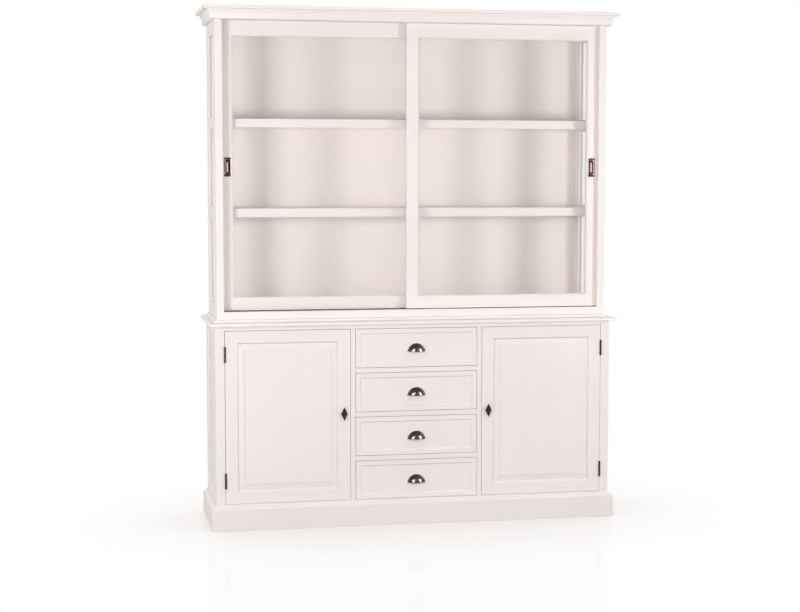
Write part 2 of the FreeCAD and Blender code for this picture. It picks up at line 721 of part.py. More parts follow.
def make_catches():
    middle = OPENING_TOP - s.catch_drop
    low = middle - s.catch_thick / 2
    high = middle + s.catch_thick / 2
    edge = PARTITION_OUTER + s.catch_length
    strike_back = FRAME_BACK + s.strike_thick
    start = strike_back + s.seat_gap
    catch = board("catch_right", (PARTITION_OUTER, start, low), (edge, start + s.catch_depth, high))
    node("door_catches", group("door_catches", [catch, mirrored("catch_left", catch)]))
    strike_edge = PARTITION_OUTER + s.catch_thick
    node("right_door_strike", board("right_door_strike", (strike_edge, FRAME_BACK, low),
                                    (edge, strike_back, high)))
    node("left_door_strike", mirrored("left_door_strike", NODES["right_door_strike"]))


def make_hinged_doors():
    """The right-hand door, and the left one as its mirror image."""
    corner = (DOOR_INNER, FRONT, DOOR_LOW)
    rails = [(0, s.door_member), (DOOR_HEIGHT - s.door_member, DOOR_HEIGHT)]
    frame = framed("right_door_frame", DOOR_WIDTH, DOOR_HEIGHT, s.door_member, rails, DOOR_MAKE)
    node("right_door_frame", place(frame, corner))
    node("right_door_panel", place(raised_panel("right_door_panel"), corner))
    at = (DOOR_INNER + s.door_member / 2, FRONT, DOOR_LOW + s.knob_rise)
    node("right_door_knob", place(diamond_knob("right_door_knob"), at))
    for piece in ("frame", "panel", "knob"):
        label = f"left_door_{piece}"
        node(label, mirrored(label, NODES[f"right_door_{piece}"]))


# Drawers

def bow(half, rise):
    """A low arch on a level foot."""
    radius = (half * half + rise * rise) / (2 * rise)
    return [(half, 0), (0, rise, radius), (-half, 0, radius)]


def hood(name, half, project, rise):
    """A quarter dome with an arch for its plan, its front and each end, turned to the back."""
    end_radius = (rise * rise + project * project) / (2 * project)
    end_outline = [(0, 0), (project, 0), (0, rise, end_radius)]
    return common(name, [
        padded(f"{name}_plan", "XY_Plane", bow(half, project), rise),
        padded(f"{name}_front", "XZ_Plane", bow(half, rise), project, back=True),
        padded(f"{name}_end", "YZ_Plane", end_outline, 2 * half, side="Symmetric"),
    ])


def cup_pull(name):
    """A hollow hood, open below, with a thin flange against the drawer."""
    half = s.cup_width / 2 - s.cup_flange
    rise = s.cup_height - s.cup_flange
    wall = s.cup_wall
    outer = hood(f"{name}_outer", half, s.cup_project, rise)
    flange = padded(f"{name}_flange", "XZ_Plane", bow(s.cup_width / 2, s.cup_height), s.cup_rim, back=True)
    inner = hood(f"{name}_inner", half - wall, s.cup_project - wall, rise - wall)
    pull = cut(name, fused(f"{name}_solid", [outer, flange]), inner)
    return turned(pull, (0, 0, 1), 180)


def drawer_front(name, half_width, low, high):
    """A front with a sunk flat field inside a sloped edge."""
    blank = board(f"{name}_blank", (-half_width, FRONT, low), (half_width, FRAME_BACK, high))
    field = doc.addObject("Part::Wedge", f"{name}_field")
    edge = half_width - s.drawer_border
    inner = edge - s.drawer_slope
    bind(field, Ymin=FRONT, Ymax=FRONT + s.drawer_recess)
    bind(field, Xmin=-edge, Xmax=edge, Zmin=low + s.drawer_border, Zmax=high - s.drawer_border)
    rim = s.drawer_border + s.drawer_slope
    bind(field, X2min=-inner, X2max=inner, Z2min=low + rim, Z2max=high - rim)
    return cut(name, blank, field)


def drawer_box(name, low):
    """Two grooved sides, a back and a bottom behind the front."""
    outer = DRAWER_EDGE - s.drawer_play
    inner = outer - s.drawer_side
    end = FRAME_BACK + s.drawer_box_depth
    start = low + s.seat_gap
    bottom_low = start + s.drawer_bottom_rise
    bottom_high = bottom_low + s.drawer_bottom
    top = start + s.drawer_side_height
    bottom = board(f"{name}_bottom", (-inner - s.drawer_groove, FRAME_BACK, bottom_low),
                   (inner + s.drawer_groove, end, bottom_high))
    blank = board(f"{name}_side_blank", (inner, FRAME_BACK, start), (outer, end, top))
    side = cut(f"{name}_side_right", blank, bottom)
    back = board(f"{name}_back", (-inner, end - s.drawer_side, bottom_high), (inner, end, top))
    return group(name, [bottom, side, mirrored(f"{name}_side_left", side), back])


def make_drawers():
    lows, clear = drawer_openings()
    for index, low in enumerate(lows, start=1):
        label = f"drawer_{index}"
        front_low = low + s.reveal
        front_high = low + clear - s.reveal
        half_width = DRAWER_EDGE - s.reveal
        node(f"{label}_front", drawer_front(f"{label}_front", half_width, front_low, front_high))
        node(f"{label}_box", drawer_box(f"{label}_box", low))
        at = (0, FRONT + s.drawer_recess, (front_low + front_high - s.cup_height) / 2)
        node(f"{label}_pull", place(cup_pull(f"{label}_pull"), at))


# Upper case

def make_case_sides():
    rise = CASE_CEILING - CASE_LOW
    rails = [(0, s.side_rail)]
    for shelf in (LOWER_SHELF, UPPER_SHELF):
        middle = shelf - s.shelf_lip / 2 - CASE_LOW
        rails.append((middle - s.side_rail / 2, middle + s.side_rail / 2))
    rails.append((HEAD_LOW - CASE_LOW - s.side_rail, rise))
    make_sides("case", "panes", HALF_CASE, CASE_FRAME_BACK, CASE_LOW, rise, rails, CASE_SIDE_MAKE)


def make_case_boards():
    stile = board("case_stile_right", (CASE_EDGE, CASE_FRONT, CASE_LOW),
                  (HALF_CASE, CASE_FRAME_BACK, CASE_CEILING))
    node("case_stiles", group("case_stiles", [stile, mirrored("case_stile_left", stile)]))
    rails = [
        board("case_foot_rail", (-CASE_EDGE, CASE_FRONT, CASE_LOW),
              (CASE_EDGE, CASE_FRAME_BACK, CASE_FLOOR)),
        board("case_head_rail", (-CASE_EDGE, CASE_FRONT, HEAD_LOW),
              (CASE_EDGE, CASE_FRAME_BACK, CASE_CEILING)),
    ]
    node("case_rails", group("case_rails", rails))
    node("case_top", board("case_top", (-HALF_CASE, CASE_FRONT, CASE_CEILING),
                           (HALF_CASE, BACK, s.overall_height)))
    node("case_back", board("case_back", (-CASE_INSIDE, INNER_BACK, CASE_LOW),
                            (CASE_INSIDE, BACK, CASE_CEILING)))

    blank = board("case_floor_blank", (-CASE_INSIDE, CASE_FRAME_BACK, CASE_FLOOR - s.case_floor),
                  (CASE_INSIDE, INNER_BACK, CASE_FLOOR))
    grooves = []
    for index in range(2):
        middle = SLIDE_FRONT + s.slide_thick / 2 + index * TRACK_PITCH
        low = (-CASE_INSIDE, middle - s.track_width / 2, CASE_FLOOR - s.track_depth)
        grooves.append(board(f"track_{index}", low, (CASE_INSIDE, middle + s.track_width / 2, CASE_FLOOR)))
    node("case_bottom", cut("case_bottom", blank, group("tracks", grooves)))

    shelves = []
    for name, top in (("lower", LOWER_SHELF), ("upper", UPPER_SHELF)):
        lip_back = SHELF_FRONT + s.shelf_lip_thick
        shelves.append(board(f"{name}_shelf_lip", (-CASE_INSIDE, SHELF_FRONT, top - s.shelf_lip),
                             (CASE_INSIDE, lip_back, top)))
        shelves.append(board(f"{name}_shelf_board", (-CASE_INSIDE, lip_back, top - s.board_thick),
                             (CASE_INSIDE, INNER_BACK, top)))
    node("case_shelves", group("case_shelves", shelves))

    between = SLIDE_FRONT + s.slide_thick + s.guide_play
    behind = SLIDES_BACK + s.guide_play
    guides = []
    for name, start, thick in (
            ("middle", between, s.slide_gap - 2 * s.guide_play),
            ("rear", behind, s.guide_thick)):
        guides.append(board(f"{name}_guide", (-CASE_INSIDE, start, HEAD_LOW),
                            (CASE_INSIDE, start + thick, CASE_CEILING)))
    node("door_guides", group("door_guides", guides))


# Sliding doors

def capsule(width, height):
    """An upright outline with round ends, about the origin."""
    radius = width / 2
    straight = height / 2 - radius
    return [(radius, straight), (0, height / 2, radius), (-radius, straight, radius),
            (-radius, -straight), (0, -height / 2, radius), (radius, -straight, radius)]


def flush_pull(name):
    """A plate with a sunk cup, about the middle of the plate's back."""
    half = s.pull_width / 2
    tall = s.pull_height / 2
    plate = board(f"{name}_plate", (-half, -s.pull_plate, -tall), (half, 0, tall))
    cup_outline = capsule(s.pull_cup_width, s.pull_cup_height)
    cup = padded(f"{name}_cup", "XZ_Plane", cup_outline, s.pull_cup_depth, back=True)
    hollow_outline = capsule(s.pull_cup_width - 2 * s.pull_wall, s.pull_cup_height - 2 * s.pull_wall)
    hollow_depth = s.pull_cup_depth - s.pull_wall + s.pull_plate
    hollow = padded(f"{name}_hollow", "XZ_Plane", hollow_outline, hollow_depth, back=True)
    place(hollow, (0, -s.pull_plate, 0))
    return cut(name, fused(f"{name}_solid", [plate, cup]), hollow)


def glazing(name):
    """The pane in its rebate and the beads that hold it."""
    width = SLIDE_WIDTH
    sight_left = s.slide_stile
    sight_right = width - s.slide_stile
    sight_low = s.slide_bottom
    sight_high = SLIDE_HEIGHT - s.slide_top
    reach = s.rebate_depth
    play = reach - s.panel_play
    rear = s.rebate_inset + s.glass_thick
    pane = board(f"{name}_pane", (sight_left - play, s.rebate_inset, sight_low - play),
                 (sight_right + play, rear, sight_high + play))
    beads = []
    for part, low, high in (
            ("lower", (sight_left - reach, sight_low - reach), (sight_right + reach, sight_low)),
            ("upper", (sight_left - reach, sight_high), (sight_right + reach, sight_high + reach)),
            ("left", (sight_left - reach, sight_low), (sight_left, sight_high)),
            ("right", (sight_right, sight_low), (sight_right + reach, sight_high))):
        beads.append(board(f"{name}_bead_{part}", (low[0], rear, low[1]), (high[0], s.slide_thick, high[1])))
    return pane, group(f"{name}_beads", beads)


def glides(name):
    """Shoes under a sliding door, each with a tongue in the running groove."""
    middle = s.slide_thick / 2
    half_width = s.glide_width / 2
    half_tongue = s.glide_tongue / 2
    rest = s.seat_gap - s.slide_lift
    pieces = []
    for index, across in enumerate((s.glide_inset, SLIDE_WIDTH - s.glide_inset)):
        start = across - s.glide_length / 2
        end = across + s.glide_length / 2
        pad = board(f"{name}_pad_{index}", (start, middle - half_width, rest), (end, middle + half_width, 0))
        tongue = board(f"{name}_tongue_{index}", (start, middle - half_tongue, -s.slide_lift - s.glide_drop),
                       (end, middle + half_tongue, rest))
        pieces.append(fused(f"{name}_{index}", [pad, tongue]))
    return group(name, pieces)


def make_sliding_doors():
    """The right-hand door in the front track, and its mirror image in the rear track."""
    name = "right_glass_door"
    corner = (SLIDE_OUTER - SLIDE_WIDTH, SLIDE_FRONT, SLIDE_LOW)
    pull_at = (SLIDE_WIDTH - s.pull_inset, 0, s.pull_rise)
    mortise_outline = capsule(s.pull_cup_width + 2 * s.pull_play, s.pull_cup_height + 2 * s.pull_play)
    mortise_depth = s.pull_cup_depth + s.pull_play
    mortise = padded(f"{name}_mortise", "XZ_Plane", mortise_outline, mortise_depth, back=True)
    place(mortise, pull_at)
    rails = [(0, s.slide_bottom), (SLIDE_HEIGHT - s.slide_top, SLIDE_HEIGHT)]
    frame = framed(f"{name}_frame", SLIDE_WIDTH, SLIDE_HEIGHT, s.slide_stile, rails, SLIDE_MAKE, mortise)
    pane, beads = glazing(name)
    pane = group(f"{name}_glass", [pane])
    pieces = {"frame": frame, "pane": pane, "beads": beads, "glides": glides(f"{name}_glides")}
    for part, piece in pieces.items():
        node(f"{name}_{part}", place(piece, corner))
    at = [start + offset for start, offset in zip(corner, pull_at)]
    node(f"{name}_pull", place(flush_pull(f"{name}_pull"), at))
    for part in (*pieces, "pull"):
        label = f"left_glass_door_{part}"
        node(label, place(mirrored(label, NODES[f"{name}_{part}"]), (0, TRACK_PITCH, 0)))


def check_and_write():
    """Refuses a failed feature or an open solid, then writes each sub-part."""
    doc.recompute()
    for thing in doc.Objects:
        if "Invalid" in thing.State or "Error" in thing.State:
            raise RuntimeError(f"{thing.Label} failed: {thing.State}")
    os.makedirs("parts", exist_ok=True)
    for label, thing in NODES.items():
        shape = thing.Shape
        if shape.isNull() or not shape.isValid() or not shape.Solids:
            raise RuntimeError(f"{label} has no valid solid")
    for label, thing in NODES.items():
        thing.Shape.exportStep(f"parts/{label}.step")
    solids = sum(len(thing.Shape.Solids) for thing in NODES.values())
    print(f"{len(NODES)} sub-parts, {solids} solids")


make_plinth()
make_base_sides()
make_face_frame()
make_base_boards()
make_base_top()
make_hinges()
make_catches()
make_hinged_doors()
make_drawers()
make_case_sides()
make_case_boards()
make_sliding_doors()
make_cornice()
check_and_write()
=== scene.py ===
import json
import math

import bmesh
import bpy
from mathutils import Matrix, Vector


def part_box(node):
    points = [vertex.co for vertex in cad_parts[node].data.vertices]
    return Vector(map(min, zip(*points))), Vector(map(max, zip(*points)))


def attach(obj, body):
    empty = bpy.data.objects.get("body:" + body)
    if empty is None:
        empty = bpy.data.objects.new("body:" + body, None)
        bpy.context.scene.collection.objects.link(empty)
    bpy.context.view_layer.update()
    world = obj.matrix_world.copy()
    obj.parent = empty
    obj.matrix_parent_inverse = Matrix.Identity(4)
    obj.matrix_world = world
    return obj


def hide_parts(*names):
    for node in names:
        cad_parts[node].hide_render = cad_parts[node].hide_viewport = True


# Tall cupboard: satin paint, antique bronze fittings, clear panes and a white studio. Metres.

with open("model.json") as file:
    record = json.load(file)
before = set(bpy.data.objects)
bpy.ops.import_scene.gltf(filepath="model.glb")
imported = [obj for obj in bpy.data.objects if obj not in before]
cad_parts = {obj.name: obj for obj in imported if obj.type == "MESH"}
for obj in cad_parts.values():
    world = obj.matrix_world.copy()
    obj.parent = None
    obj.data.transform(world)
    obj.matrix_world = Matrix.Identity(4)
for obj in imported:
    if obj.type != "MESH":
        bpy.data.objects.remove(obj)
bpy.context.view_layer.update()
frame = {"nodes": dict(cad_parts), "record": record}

HANDS = ("left", "right")
CORNERS = ((1, 1), (-1, 1), (-1, -1), (1, -1))
DRAWER_COUNT = 4

# Camera fitted to the straight edges of the object. Lengths in pixels are those of the image.
CAMERA_AT = (-1.5025, -7.7206, 1.5725)
CAMERA_YAW = math.radians(12.026)
CAMERA_PITCH = math.radians(-5.349)
CAMERA_ROLL = math.radians(0.151)
FOCAL_PIXELS = 1796.6
LENS_SHIFT = (-38.9, 19.9)
IMAGE_WIDTH = 800
SENSOR_WIDTH = 36

# Cup pulls, each in the box of the solid that it stands for
CUP_FLANGE = 0.005
CUP_RIM = 0.0022
CUP_RIM_EDGE = 0.0007
CUP_RIM_SQUARE_SHARE = 0.6
CUP_WALL = 0.0018
CUP_FILLET = 0.0015
CUP_FULLNESS = 2.25
CUP_STEPS_ROUND = 48
CUP_STEPS_FOOT = 5
CUP_STEPS_DOME = 16

# Flush pulls, each a plate with a long dish, in the mortises of the sliding doors
PULL_PLATE = 0.0015
PULL_CORNER = 0.001
PULL_EDGE = 0.0004
DISH_HALF_WIDTH = 0.0095
DISH_HALF_HEIGHT = 0.030
DISH_BACK_SHARE = 0.94
DISH_DEPTH = 0.007
DISH_STEPS_ROUND = 8
DISH_STEPS_DOWN = 10

# Dark strips on the case floor, under the sliding doors and clear of their glides: painted shade for
# the gap under the doors
STRIP_THICK = 0.00015
STRIP_GROOVE = 0.006

# Softened edges
WELD = 0.00002
SOFT_WOOD = 0.0011
SOFT_METAL = 0.0004
SOFT_STEPS = 2
SHARP_ANGLE = math.radians(28)
CREASE_ANGLE = math.radians(50)

# Clear mirror faces: share of light mirrored straight on, and how fast it grows towards a glancing view
MIRROR_SHARE = 0.035
MIRROR_POWER = 5
PANE_ROUGHNESS = 0.02

# Studio floor: a white glow with a faint polish, darkened by painted shade close to what stands on it
FLOOR_REACH = 40
# Painted shade on the floor: how far ambient occlusion looks, and the colour where it finds the most
# close by
FLOOR_PAINTED_SHADE_REACH = 0.9
FLOOR_PAINTED_SHADE = (0.87, 0.83, 0.81)
FLOOR_GLANCE = 0.25
FLOOR_ROUGHNESS = 0.1

# Light from all round on matt faces
SOFT_LIGHT_COLOUR = (1, 0.935, 0.88)
SOFT_LIGHT_SHARE = 0.335

WHITE = (1, 1, 1)


def material(name):
    """A new node material and its one shader."""
    made = bpy.data.materials.new(name)
    made.use_nodes = True
    nodes = made.node_tree.nodes
    nodes.clear()
    output = nodes.new("ShaderNodeOutputMaterial")
    shader = nodes.new("ShaderNodeBsdfPrincipled")
    made.node_tree.links.new(shader.outputs["BSDF"], output.inputs["Surface"])
    return made, shader


def noise(tree, scale, detail, stretch=(1, 1, 1)):
    """Noise in the object's own metres, drawn out along the axes by stretch."""
    coordinates = tree.nodes.new("ShaderNodeTexCoord")
    mapping = tree.nodes.new("ShaderNodeMapping")
    mapping.inputs["Scale"].default_value = stretch
    texture = tree.nodes.new("ShaderNodeTexNoise")
    texture.inputs["Scale"].default_value = scale
    texture.inputs["Detail"].default_value = detail
    tree.links.new(coordinates.outputs["Object"], mapping.inputs["Vector"])
    tree.links.new(mapping.outputs["Vector"], texture.inputs["Vector"])
    return texture.outputs["Fac"]


def ramp(tree, factor, stops):
    """A colour ramp over a factor. A stop is (place, colour)."""
    node = tree.nodes.new("ShaderNodeValToRGB")
    elements = node.color_ramp.elements
    while len(elements) < len(stops):
        elements.new(position=0.5)
    for element, (place, colour) in zip(elements, stops):
        element.position = place
        element.color = (*colour, 1)
    tree.links.new(factor, node.inputs["Fac"])
    return node.outputs["Color"]


def spread(tree, factor, low, high):
    """A factor spread over a range of plain values."""
    node = tree.nodes.new("ShaderNodeMapRange")
    node.inputs["To Min"].default_value = low
    node.inputs["To Max"].default_value = high
    tree.links.new(factor, node.inputs["Value"])
    return node.outputs["Result"]


def bumped(tree, shader, height, depth, strength):
    """Relief of a real depth under a shader."""
    node = tree.nodes.new("ShaderNodeBump")
    node.inputs["Distance"].default_value = depth
    node.inputs["Strength"].default_value = strength
    tree.links.new(height, node.inputs["Height"])
    tree.links.new(node.outputs["Normal"], shader.inputs["Normal"])


def paint(name, light, dark, roughness):
    """Sprayed satin paint: slow drifts of tone, a fine orange peel and uneven sheen."""
    made, shader = material(name)
    tree = made.node_tree
    drift = noise(tree, scale=2.4, detail=3)
    tree.links.new(ramp(tree, drift, [(0.36, dark), (0.64, light)]), shader.inputs["Base Color"])
    sheen = noise(tree, scale=14, detail=2)
    uneven = spread(tree, sheen, low=roughness - 0.05, high=roughness + 0.07)
    tree.links.new(uneven, shader.inputs["Roughness"])
    peel = noise(tree, scale=420, detail=2)
    bumped(tree, shader, peel, depth=0.00012, strength=0.25)
    return made


def bronze(name):
    """Antique bronze: nearly black, with brown patina and rubbed sheen."""
    made, shader = material(name)
    tree = made.node_tree
    patina = noise(tree, scale=160, detail=4)
    stops = [(0.35, (0.028, 0.019, 0.018)), (0.62, (0.048, 0.034, 0.031)), (0.8, (0.075, 0.052, 0.042))]
    tree.links.new(ramp(tree, patina, stops), shader.inputs["Base Color"])
    shader.inputs["Metallic"].default_value = 0.9
    tree.links.new(spread(tree, patina, low=0.16, high=0.28), shader.inputs["Roughness"])
    pitting = noise(tree, scale=700, detail=2)
    bumped(tree, shader, pitting, depth=0.00006, strength=0.3)
    return made


def board_grain(tree):
    """Grain that runs towards the back, and across on boards that face the front or the back."""
    scale = 60
    detail = 5
    drawn_out = 0.06
    facing = tree.nodes.new("ShaderNodeTexCoord")
    parts = tree.nodes.new("ShaderNodeSeparateXYZ")
    turned = tree.nodes.new("ShaderNodeMath")
    turned.operation = "ABSOLUTE"
    mix = tree.nodes.new("ShaderNodeMix")
    tree.links.new(facing.outputs["Normal"], parts.inputs["Vector"])
    tree.links.new(parts.outputs["Y"], turned.inputs[0])
    tree.links.new(turned.outputs["Value"], mix.inputs["Factor"])
    tree.links.new(noise(tree, scale, detail, (1, drawn_out, 1)), mix.inputs["A"])
    tree.links.new(noise(tree, scale, detail, (drawn_out, 1, 1)), mix.inputs["B"])
    return mix.outputs["Result"]


def bare_wood(name):
    """Sealed pale wood, smoother where its grain is light."""
    made, shader = material(name)
    tree = made.node_tree
    grain = board_grain(tree)
    stops = [(0.3, (0.46, 0.30, 0.17)), (0.55, (0.64, 0.46, 0.29)), (0.75, (0.72, 0.55, 0.37))]
    tree.links.new(ramp(tree, grain, stops), shader.inputs["Base Color"])
    tree.links.new(spread(tree, grain, low=0.55, high=0.4), shader.inputs["Roughness"])
    bumped(tree, shader, grain, depth=0.0003, strength=0.3)
    return made


def moulded(name, light, dark, metallic, roughness):
    """A small moulded or plated piece, slightly mottled."""
    made, shader = material(name)
    tree = made.node_tree
    mottle = noise(tree, scale=220, detail=3)
    tree.links.new(ramp(tree, mottle, [(0.3, dark), (0.7, light)]), shader.inputs["Base Color"])
    shader.inputs["Metallic"].default_value = metallic
    uneven = spread(tree, mottle, low=roughness - 0.06, high=roughness + 0.06)
    tree.links.new(uneven, shader.inputs["Roughness"])
    return made


def mirror_over(made, under, most, roughness):
    """Lays a clear mirror over another shader. Its share grows to its most towards a glancing view."""
    tree = made.node_tree
    output = next(node for node in tree.nodes if node.type == "OUTPUT_MATERIAL")
    mirror = tree.nodes.new("ShaderNodeBsdfGlossy")
    mirror.inputs["Color"].default_value = (*WHITE, 1)
    mirror.inputs["Roughness"].default_value = roughness
    glance = tree.nodes.new("ShaderNodeLayerWeight")
    steep = tree.nodes.new("ShaderNodeMath")
    steep.operation = "POWER"
    steep.inputs[1].default_value = MIRROR_POWER
    mix = tree.nodes.new("ShaderNodeMixShader")
    tree.links.new(glance.outputs["Facing"], steep.inputs[0])
    tree.links.new(spread(tree, steep.outputs["Value"], MIRROR_SHARE, most), mix.inputs["Fac"])
    tree.links.new(under, mix.inputs[1])
    tree.links.new(mirror.outputs["BSDF"], mix.inputs[2])
    tree.links.new(mix.outputs["Shader"], output.inputs["Surface"])


def clear_glass(name):
    """A thin pane that is see-through between its two mirror faces."""
    made, shader = material(name)
    made.node_tree.nodes.remove(shader)
    through = made.node_tree.nodes.new("ShaderNodeBsdfTransparent")
    mirror_over(made, through.outputs["BSDF"], most=1, roughness=PANE_ROUGHNESS)
    return made


def shaded_bright_floor(name):
    """A white glowing studio floor with a faint polish, with painted shade where something stands on
    it.
    """
    made, shader = material(name)
    tree = made.node_tree
    tree.nodes.remove(shader)
    openness = tree.nodes.new("ShaderNodeAmbientOcclusion")
    openness.inputs["Distance"].default_value = FLOOR_PAINTED_SHADE_REACH
    glow = tree.nodes.new("ShaderNodeEmission")
    # Painted shade: the glow darkens towards a grey where ambient occlusion finds something close
    shade = ramp(tree, openness.outputs["AO"], [(0.5, FLOOR_PAINTED_SHADE), (0.95, WHITE)])
    tree.links.new(shade, glow.inputs["Color"])
    mirror_over(made, glow.outputs["Emission"], most=FLOOR_GLANCE, roughness=FLOOR_ROUGHNESS)
    return made


LOOKS = {
    "painted_wood": paint("satin_paint", (0.85, 0.797, 0.788), (0.83, 0.772, 0.763), 0.42),
    "bare_wood": bare_wood("sealed_wood"),
    "clear_glass": clear_glass("pane_glass"),
    "dark_bronze": bronze("antique_bronze"),
    "nylon": moulded("nylon", (0.78, 0.77, 0.73), (0.72, 0.71, 0.67), 0, 0.45),
    "steel": moulded("zinc_plate", (0.62, 0.61, 0.60), (0.5, 0.5, 0.5), 1, 0.34),
}

# A warmer copy of the satin paint for the case back: painted warm shade, as the inside of the case
# looks in shadow
BACK_PAINT_WARM_SHADE = paint("back_paint_warm_shade", (0.866, 0.806, 0.765), (0.846, 0.781, 0.74), 0.5)
# Near-black look of the strips and the glides: painted shade in the gap under the sliding doors
SHADE_STRIP_LOOK = moulded("painted_shade_strip", (0.034, 0.027, 0.024), (0.022, 0.018, 0.016), 0, 0.7)

# Nodes that look unlike the rest of their slot: the case back with painted warm shade, and the glides
# near-black as painted shade under the doors
OWN_LOOKS = {
    "case_back": BACK_PAINT_WARM_SHADE,
    "left_glass_door_glides": SHADE_STRIP_LOOK,
    "right_glass_door_glides": SHADE_STRIP_LOOK,
}

slots = {row["node"]: row["material_slot"] for row in frame["record"]["subparts"]}


def solid_ranges(mesh):
    """First and last face of each closed solid in a mesh, whose faces lie solid by solid.

    Faces that close no solid make one last range.
    """
    corners = [tuple(round(value / WELD) for value in vertex.co) for vertex in mesh.vertices]
    ranges = []
    first = 0
    open_edges = set()
    for face in mesh.polygons:
        around = [corners[index] for index in face.vertices]
        for edge in zip(around, around[1:] + around[:1]):
            open_edges.symmetric_difference_update({tuple(sorted(edge))})
        if not open_edges:
            ranges.append((first, face.index))
            first = face.index + 1
    if open_edges:
        ranges.append((first, len(mesh.polygons) - 1))
    return ranges


def weld_solids(piece):
    """Joins the faces of each solid. Solids that touch stay apart."""
    tree = bpy.data.node_groups.new(f"{piece.name}_weld", "GeometryNodeTree")
    tree.interface.new_socket("Geometry", in_out="INPUT", socket_type="NodeSocketGeometry")
    tree.interface.new_socket("Geometry", in_out="OUTPUT", socket_type="NodeSocketGeometry")
    source = tree.nodes.new("NodeGroupInput")
    index = tree.nodes.new("GeometryNodeInputIndex")
    join = tree.nodes.new("GeometryNodeJoinGeometry")
    output = tree.nodes.new("NodeGroupOutput")
    for first, last in solid_ranges(piece.data):
        chosen = tree.nodes.new("ShaderNodeMath")
        chosen.operation = "COMPARE"
        chosen.inputs[1].default_value = (first + last) / 2
        chosen.inputs[2].default_value = (last - first + 1) / 2
        solid = tree.nodes.new("GeometryNodeSeparateGeometry")
        solid.domain = "FACE"
        weld = tree.nodes.new("GeometryNodeMergeByDistance")
        weld.inputs["Distance"].default_value = WELD
        tree.links.new(index.outputs["Index"], chosen.inputs[0])
        tree.links.new(source.outputs["Geometry"], solid.inputs["Geometry"])
        tree.links.new(chosen.outputs["Value"], solid.inputs["Selection"])
        tree.links.new(solid.outputs["Selection"], weld.inputs["Geometry"])
        tree.links.new(weld.outputs["Geometry"], join.inputs["Geometry"])
    tree.links.new(join.outputs["Geometry"], output.inputs["Geometry"])
    piece.modifiers.new("weld", "NODES").node_group = tree


def soften(piece, width):
    """Joins the faces of each solid and rounds its sharp edges."""
    weld_solids(piece)
    bevel = piece.modifiers.new("soft_edges", "BEVEL")
    bevel.width = width
    bevel.segments = SOFT_STEPS
    bevel.limit_method = "ANGLE"
    bevel.angle_limit = SHARP_ANGLE
    bevel.harden_normals = True


for name, piece in frame["nodes"].items():
    piece.data.materials.clear()
    piece.data.materials.append(OWN_LOOKS.get(name, LOOKS[slots[name]]))
    if slots[name] == "painted_wood":
        soften(piece, SOFT_WOOD)
    elif slots[name] == "dark_bronze":
        soften(piece, SOFT_METAL)


def bow_points(half, rise, share):
    """Points along a low arch on a level foot, drawn in to a share of its size."""
    radius = (half * half + rise * rise) / (2 * rise)
    first = math.asin((radius - rise) / radius)
    points = []
    for step in range(CUP_STEPS_ROUND + 1):
        angle = first + (math.pi - 2 * first) * step / CUP_STEPS_ROUND
        across = radius * math.cos(angle)
        up = rise - radius + radius * math.sin(angle)
        points.append((share * across, share * up))
    return points


def cup_rows(half, rise, project):
    """Arches from the back of the flange over the dome to its middle, outside and inside.

    An arch is its half width, its rise, the share it is drawn in to and how far it stands out.
    """
    dome_half = half - CUP_FLANGE
    dome_rise = rise - CUP_FLANGE
    foot = CUP_RIM + CUP_FILLET
    outside = [
        (half, rise, 1, 0),
        (half, rise, 1, CUP_RIM * CUP_RIM_SQUARE_SHARE),
        (half - CUP_RIM_EDGE, rise - CUP_RIM_EDGE, 1, CUP_RIM),
    ]
    for step in range(CUP_STEPS_FOOT):
        turn = math.pi / 2 * step / CUP_STEPS_FOOT
        out = CUP_FILLET * (1 - math.sin(turn))
        outside.append((dome_half + out, dome_rise + out, 1, foot - CUP_FILLET * math.cos(turn)))
    wall_half = dome_half - CUP_WALL
    wall_rise = dome_rise - CUP_WALL
    inside = [(wall_half, wall_rise, 1, foot * index / len(outside)) for index in range(len(outside))]
    for step in range(CUP_STEPS_DOME + 1):
        turn = math.pi / 2 * step / CUP_STEPS_DOME
        share = max(math.cos(turn), 0) ** (2 / CUP_FULLNESS)
        climb = math.sin(turn) ** (2 / CUP_FULLNESS)
        outside.append((dome_half, dome_rise, share, foot + climb * (project - foot)))
        inside.append((wall_half, wall_rise, share, foot + climb * (project - CUP_WALL - foot)))
    return outside, inside


def finished(name, form, look):
    """A new piece from a mesh being made, smooth but for its sharp edges."""
    bmesh.ops.remove_doubles(form, verts=form.verts, dist=WELD)
    bmesh.ops.recalc_face_normals(form, faces=form.faces)
    mesh = bpy.data.meshes.new(name)
    form.to_mesh(mesh)
    form.free()
    mesh.shade_smooth()
    mesh.set_sharp_from_angle(angle=CREASE_ANGLE)
    mesh.materials.append(look)
    made = bpy.data.objects.new(name, mesh)
    bpy.context.scene.collection.objects.link(made)
    return made


def cup_pull(name, low, high):
    """A hollow quarter dome, open below, on a thin flange, in the box from low to high."""
    half = (high.x - low.x) / 2
    middle = (low.x + high.x) / 2
    form = bmesh.new()
    sheets = []
    for rows in cup_rows(half, high.z - low.z, high.y - low.y):
        sheets.append([[form.verts.new((middle + across, high.y - depth, low.z + up))
                        for across, up in bow_points(row_half, row_rise, share)]
                       for row_half, row_rise, share, depth in rows])
    for sheet in sheets:
        for row, following in zip(sheet, sheet[1:]):
            for step in range(CUP_STEPS_ROUND):
                form.faces.new((row[step], row[step + 1], following[step + 1], following[step]))
    outside, inside = sheets
    for end in (0, -1):
        outer = [row[end] for row in outside]
        inner = [row[end] for row in inside]
        for index in range(len(outer) - 1):
            form.faces.new((outer[index], outer[index + 1], inner[index + 1], inner[index]))
    for step in range(CUP_STEPS_ROUND):
        form.faces.new((outside[0][step], outside[0][step + 1], inside[0][step + 1], inside[0][step]))
    return finished(name, form, LOOKS["dark_bronze"])


